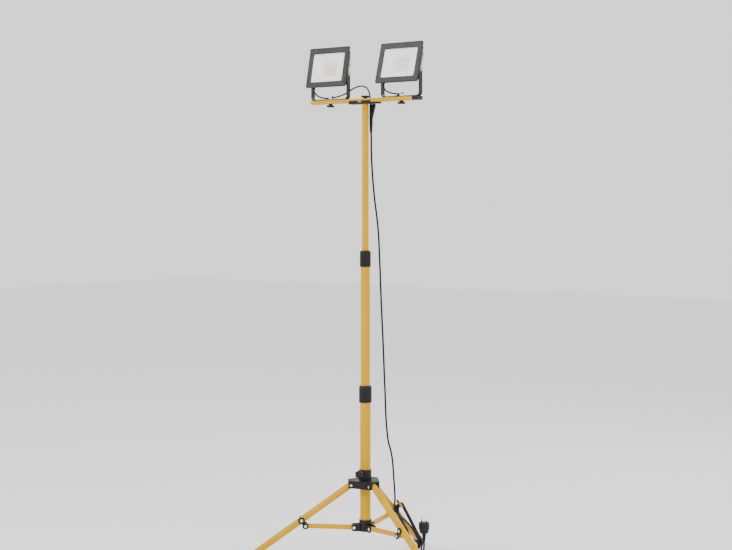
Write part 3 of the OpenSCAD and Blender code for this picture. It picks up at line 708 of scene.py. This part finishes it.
def make_star_knob(name, node, low, high, place, r, grip_t, stem_r):
    """Lobed knob along +Z: a stem from low to the grip, and a grip with a domed face up to high.

    The node that it replaces and the body that it rides on have the same name."""
    base = high - grip_t
    stem = lathe([(stem_r - 0.5, low), (stem_r, low + 0.6), (stem_r, base - 0.8),
                  (stem_r + 1, base + 0.2)], 40)
    depth = 0.2 * r
    rows = [(r - 1.6, depth, base), (r - 0.5, depth, base + 0.4), (r, depth, base + 1.3),
            (r, depth, high - 2.0), (r - 0.5, depth, high - 0.9), (r - 1.8, depth, high - 0.3),
            (r * 0.62, depth * 0.4, high), (r * 0.5, 0, high - 0.7), (r * 0.42, 0, high - 0.7)]
    grip = loft([star(reach, knob_lobes, dip, z) for reach, dip, z in rows])
    piece = new_part(name, joined([stem, grip]), place, node, "black_plastic", 40)
    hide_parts(node)


def make_knobs():
    for side in sides:
        node = side + "_lamp_knob"
        low, high = [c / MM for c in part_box(node)]
        middle = (low + high) / 2
        place = (Matrix.Translation((middle.x, middle.y, high.z))
                 @ Matrix.Rotation(math.pi, 4, "X"))
        make_star_knob(side + "_star_knob", node, 0, high.z - low.z, place, r=14, grip_t=6.5,
                       stem_r=7)
    low, high = [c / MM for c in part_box("crossbar_knob")]
    place = Matrix.Translation(((low.x + high.x) / 2, (low.y + high.y) / 2, 0))
    make_star_knob("crossbar_star_knob", "crossbar_knob", high.z - crossbar_knob_shown, high.z,
                   place, r=14.5, grip_t=6.5, stem_r=7)
    place = Matrix.Translation((0, 0, hub_knob_z)) @ turned(hub_knob_dir, "Z") @ along_x
    make_star_knob("hub_star_knob", "hub_knob", *hub_knob_reach, place, r=14, grip_t=13, stem_r=6.5)


# ---- lamps ----

# Sections of the front frame and its gasket, as (half width, half height, corner, y, centre z)
bezel_rows = [
    (81.5, 67.5, 2.5, -15, 20.5), (82.5, 68.5, 3.2, -16, 20.5), (82.5, 68.5, 3.2, -21.8, 20.5),
    (82.1, 68.1, 3.0, -23.0, 20.5), (81.2, 67.2, 2.6, -23.6, 20.5), (79.4, 65.4, 2.4, -23.6, 20.5),
    (78.6, 64.6, 2.2, -22.9, 20.5), (71.0, 54.6, 4.5, -22.5, 20.1), (67.6, 50.6, 5.8, -22.4, 19.7),
    (66.4, 49.4, 5.4, -21.9, 19.5), (66.0, 49.0, 5.0, -21.2, 19.5), (70.4, 53.4, 4.0, -21.2, 19.5),
    (70.6, 53.6, 4.0, -15, 19.5)]
gasket_rows = [
    (72.2, 59.2, 4, -15.6, 20.5), (73.4, 60.4, 5, -15.2, 20.5), (73.4, 60.4, 5, -13.9, 20.5),
    (72.6, 59.6, 4, -13.5, 20.5), (71.2, 58.2, 4, -13.9, 20.5), (71.2, 58.2, 4, -15.2, 20.5)]

led_columns, led_rows = 10, 8
led_pitch_x, led_pitch_z = 5.7, 5.9
led_centre_z = 19.5
led_sections = ((-5.5, 2.2), (-6.1, 2.2), (-6.35, 1.9))

screw_r, screw_t = 3.0, 2.0
screw_y = -15.1
screw_x = (-77, 77)
screw_z = (-36, 77)


def window_loft(rows):
    """A closed frame round the lamp's window, from its sections."""
    return loft([[Vector((x, y, centre_z + z)) for x, z in round_rect(half_w, half_h, r)]
                 for half_w, half_h, r, y, centre_z in rows], closed=True)


def make_bezel(side):
    """Cast front frame: eased outer edge, raised rim, flat face and a chamfer round the window."""
    piece = new_part(side + "_front_frame", window_loft(bezel_rows), lamp_frame(side),
                     side + "_lamp", "bezel_paint", 30)
    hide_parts(side + "_bezel")


def make_gasket(side):
    new_part(side + "_gasket", window_loft(gasket_rows), lamp_frame(side), side + "_lamp",
             "cable_rubber")


def make_led_tiles(side):
    """Field of LED packages on the board, each with an eased top."""
    tiles = []
    for i in range(led_columns):
        for k in range(led_rows):
            x = (i - (led_columns - 1) / 2) * led_pitch_x
            z = led_centre_z + (k - (led_rows - 1) / 2) * led_pitch_z
            tiles.append(loft([
                [Vector((x + a, y, z + b)) for a, b in round_rect(half, half, 0.4, 2)]
                for y, half in led_sections]))
    new_part(side + "_led_tiles", joined(tiles), lamp_frame(side), side + "_lamp", "led_cream")


def cross_screw(r, t):
    """Pan head with a cross recess, its head along +Z from 0 to t."""
    count = 32
    rings = []
    for radius, z in ((r, 0), (r, t * 0.4), (r * 0.86, t * 0.82), (r * 0.6, t), (r * 0.55, t),
                      (r * 0.5, t * 0.4)):
        ring = []
        for j in range(count):
            angle = 2 * math.pi * j / count
            reach = radius
            if radius < r * 0.57:
                reach = radius * (1 if j % 8 in (0, 1, 7) else 0.36)
            ring.append(Vector((reach * math.cos(angle), reach * math.sin(angle), z)))
        rings.append(ring)
    return loft(rings)


def make_frame_screws(side):
    """Four screws that hold the front frame from behind."""
    screws = []
    for x in screw_x:
        for z in screw_z:
            spot = Matrix.Translation((x, screw_y, z)) @ Matrix.Rotation(-math.pi / 2, 4, "X")
            screws.append(moved(cross_screw(screw_r, screw_t), spot))
    new_part(side + "_frame_screws", joined(screws), lamp_frame(side), side + "_lamp",
             "zinc_steel")


# ---- finishes of the CAD nodes that stay ----

node_slots = {
    "yellow_paint": ["lower_tube", "middle_tube", "upper_tube", "crossbar", "left_leg",
                     "front_leg", "rear_leg", "left_brace", "front_brace", "rear_brace",
                     "cable_hook"],
    "black_plastic": ["lower_hub", "lower_lock_collet", "lower_lock_ring", "middle_guide",
                      "upper_lock_collet", "upper_lock_ring", "upper_guide", "mast_head",
                      "crossbar_caps", "leg_hub", "left_clip", "front_clip", "rear_clip",
                      "left_gland", "right_gland"],
    "foot_rubber": ["left_foot", "front_foot", "rear_foot"],
    "black_paint": ["left_bracket", "right_bracket", "left_housing", "right_housing"],
    "lamp_glass": ["left_glass", "right_glass"],
    "white_reflector": ["left_reflector", "right_reflector"],
    "led_cream": ["left_led_board", "right_led_board"],
    "zinc_steel": ["lower_hub_rivets", "left_bolt", "right_bolt", "leg_hub_pins",
                   "left_clip_rivets", "front_clip_rivets", "rear_clip_rivets"],
    "brass_zinc": ["left_pivot_bolts", "right_pivot_bolts"],
}


def finish_nodes():
    for slot, nodes in node_slots.items():
        for node in nodes:
            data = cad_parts[node].data
            for k in range(len(data.materials)):
                data.materials[k] = materials[slot]


make_camera()
make_studio()
materials = make_materials()
finish_nodes()
make_mains_cord(make_plug(), make_relief())
for side in sides:
    make_lamp_leads(side)
    make_bezel(side)
    make_gasket(side)
    make_led_tiles(side)
    make_frame_screws(side)
make_cable_joint()
make_hook_cap()
make_foot_ribs()
make_knobs()
